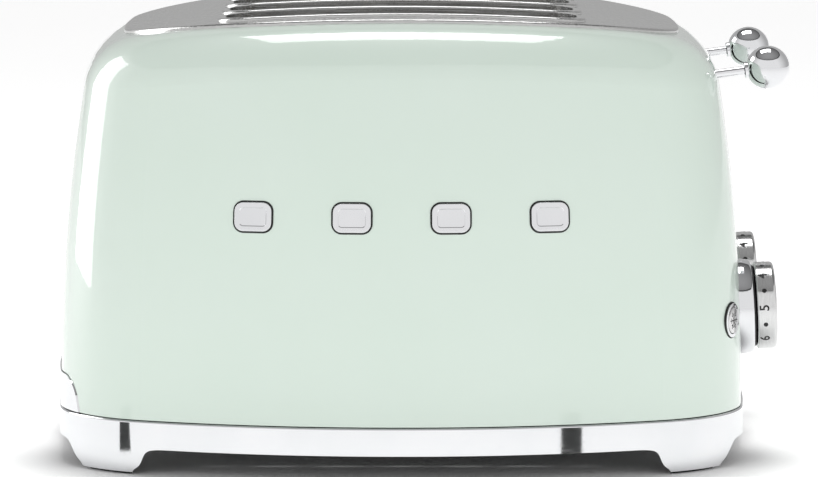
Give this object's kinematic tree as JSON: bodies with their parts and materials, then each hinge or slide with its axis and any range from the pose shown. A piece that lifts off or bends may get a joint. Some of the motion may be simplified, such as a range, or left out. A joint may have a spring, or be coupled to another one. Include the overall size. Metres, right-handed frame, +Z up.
{
  "type": "pop-up toaster",
  "caption": "Rounded enamelled pop-up toaster with long bread slots, a chrome base on feet, and ball levers, browning dials and push buttons on one end.",
  "frame": {"origin": "under the middle of the whole object, levers included, at the level of the soles", "axes": "+Z up; -Y is the plain front with the trim; +X points to the end with the levers, dials and buttons"},
  "size_m": [0.3388, 0.324, 0.2057],
  "materials": {
    "mint_paint": "gloss",
    "chrome": "polished",
    "steel": "brushed",
    "inner_steel": "rolled sheet",
    "wire": "drawn",
    "rubber": "moulded",
    "black_plastic": "moulded",
    "white_plastic": "moulded",
    "mica": "pressed flake board",
    "resistance_alloy": "rolled ribbon",
    "circuit_board": "solder mask",
    "iron": "dull"
  },
  "bodies": {
    "toaster": {"body_shell": "mint_paint", "base_ring": "chrome", "feet": "rubber", "bottom_plate": "inner_steel", "base_screws": "chrome", "cord_gland": "rubber", "cord_cleats": "black_plastic", "terminal_block": "white_plastic", "top_plate": "steel", "slot_rims": "steel", "end_plate_left": "inner_steel", "end_plate_right": "inner_steel", "guide_brackets": "inner_steel", "guide_rods": "wire", "heater_boards": "mica", "heater_windings": "resistance_alloy", "reflectors": "inner_steel", "latch_magnets": "iron", "lever_slot_liners": "black_plastic", "tray_runners": "black_plastic", "control_carrier": "black_plastic", "button_switches": "black_plastic", "control_board": "circuit_board", "dial_bezels": "chrome", "dial_spacers": "black_plastic", "level_controls": "black_plastic", "button_rings": "chrome", "front_trim": "chrome", "lift_spring_front": "wire", "lift_spring_rear": "wire"},
    "carriage_front": {"carriage_front": "inner_steel", "lever_rod_front": "chrome", "lever_knob_front": "chrome", "bread_racks_front": "wire"},
    "carriage_rear": {"carriage_rear": "inner_steel", "lever_rod_rear": "chrome", "lever_knob_rear": "chrome", "bread_racks_rear": "wire"},
    "guards_front_outward": {"bread_guards_front_outward": "wire"},
    "guards_front_inward": {"bread_guards_front_inward": "wire"},
    "guards_rear_outward": {"bread_guards_rear_outward": "wire"},
    "guards_rear_inward": {"bread_guards_rear_inward": "wire"},
    "dial_front": {"browning_dial_front": "steel"},
    "dial_rear": {"browning_dial_rear": "steel"},
    "stop_front": {"stop_button_front": "steel"},
    "stop_rear": {"stop_button_rear": "steel"},
    "button_front_outer": {"button_front_outer": "steel"},
    "button_front_inner": {"button_front_inner": "steel"},
    "button_rear_inner": {"button_rear_inner": "steel"},
    "button_rear_outer": {"button_rear_outer": "steel"},
    "tray_front": {"tray_front_front": "chrome", "crumb_tray_front": "inner_steel"},
    "tray_rear": {"tray_front_rear": "chrome", "crumb_tray_rear": "inner_steel"}
  },
  "joints": [
    {"name": "front_lever", "type": "slide", "parent": "toaster", "child": "carriage_front", "axis": [0, 0, -1], "range_m": [0, 0.066], "stiffness_N_per_m": 100, "springref_m": -0.06, "deforming": ["lift_spring_front"]},
    {"name": "rear_lever", "type": "slide", "parent": "toaster", "child": "carriage_rear", "axis": [0, 0, -1], "range_m": [0, 0.066], "stiffness_N_per_m": 100, "springref_m": -0.06, "deforming": ["lift_spring_rear"]},
    {"name": "front_guards_outward", "type": "slide", "parent": "toaster", "child": "guards_front_outward", "axis": [0, 1, 0], "range_m": [0, 0.006]},
    {"name": "front_guards_inward", "type": "slide", "parent": "toaster", "child": "guards_front_inward", "axis": [0, -1, 0], "range_m": [0, 0.006]},
    {"name": "rear_guards_outward", "type": "slide", "parent": "toaster", "child": "guards_rear_outward", "axis": [0, -1, 0], "range_m": [0, 0.006]},
    {"name": "rear_guards_inward", "type": "slide", "parent": "toaster", "child": "guards_rear_inward", "axis": [0, 1, 0], "range_m": [0, 0.006]},
    {"name": "front_dial", "type": "hinge", "parent": "toaster", "child": "dial_front", "pos_m": [0.14774, -0.066, 0.0679], "axis": [0.9986, 0, 0.0523], "range_deg": [-138, 92]},
    {"name": "front_stop", "type": "slide", "parent": "dial_front", "child": "stop_front", "axis": [-0.9986, 0, -0.0523], "range_m": [0, 0.0012], "stiffness_N_per_m": 600, "springref_m": -0.001},
    {"name": "rear_dial", "type": "hinge", "parent": "toaster", "child": "dial_rear", "pos_m": [0.14774, 0.066, 0.0679], "axis": [0.9986, 0, 0.0523], "range_deg": [-138, 92]},
    {"name": "rear_stop", "type": "slide", "parent": "dial_rear", "child": "stop_rear", "axis": [-0.9986, 0, -0.0523], "range_m": [0, 0.0012], "stiffness_N_per_m": 600, "springref_m": -0.001},
    {"name": "front_outer_button", "type": "slide", "parent": "toaster", "child": "button_front_outer", "axis": [-0.9135, 0.4067, 0], "range_m": [0, 0.001], "stiffness_N_per_m": 500, "springref_m": -0.001},
    {"name": "front_inner_button", "type": "slide", "parent": "toaster", "child": "button_front_inner", "axis": [-1, 0, 0], "range_m": [0, 0.001], "stiffness_N_per_m": 500, "springref_m": -0.001},
    {"name": "rear_inner_button", "type": "slide", "parent": "toaster", "child": "button_rear_inner", "axis": [-1, 0, 0], "range_m": [0, 0.001], "stiffness_N_per_m": 500, "springref_m": -0.001},
    {"name": "rear_outer_button", "type": "slide", "parent": "toaster", "child": "button_rear_outer", "axis": [-0.9135, -0.4067, 0], "range_m": [0, 0.001], "stiffness_N_per_m": 500, "springref_m": -0.001},
    {"name": "front_tray", "type": "slide", "parent": "toaster", "child": "tray_front", "axis": [-1, 0, 0], "range_m": [0, 0.22]},
    {"name": "rear_tray", "type": "slide", "parent": "toaster", "child": "tray_rear", "axis": [-1, 0, 0], "range_m": [0, 0.22]}
  ],
  "couplings": [
    {"joint": "front_guards_outward", "follows": "front_lever", "ratio": 0.090908},
    {"joint": "front_guards_inward", "follows": "front_lever", "ratio": 0.090908},
    {"joint": "rear_guards_outward", "follows": "rear_lever", "ratio": 0.090908},
    {"joint": "rear_guards_inward", "follows": "rear_lever", "ratio": 0.090908}
  ]
}
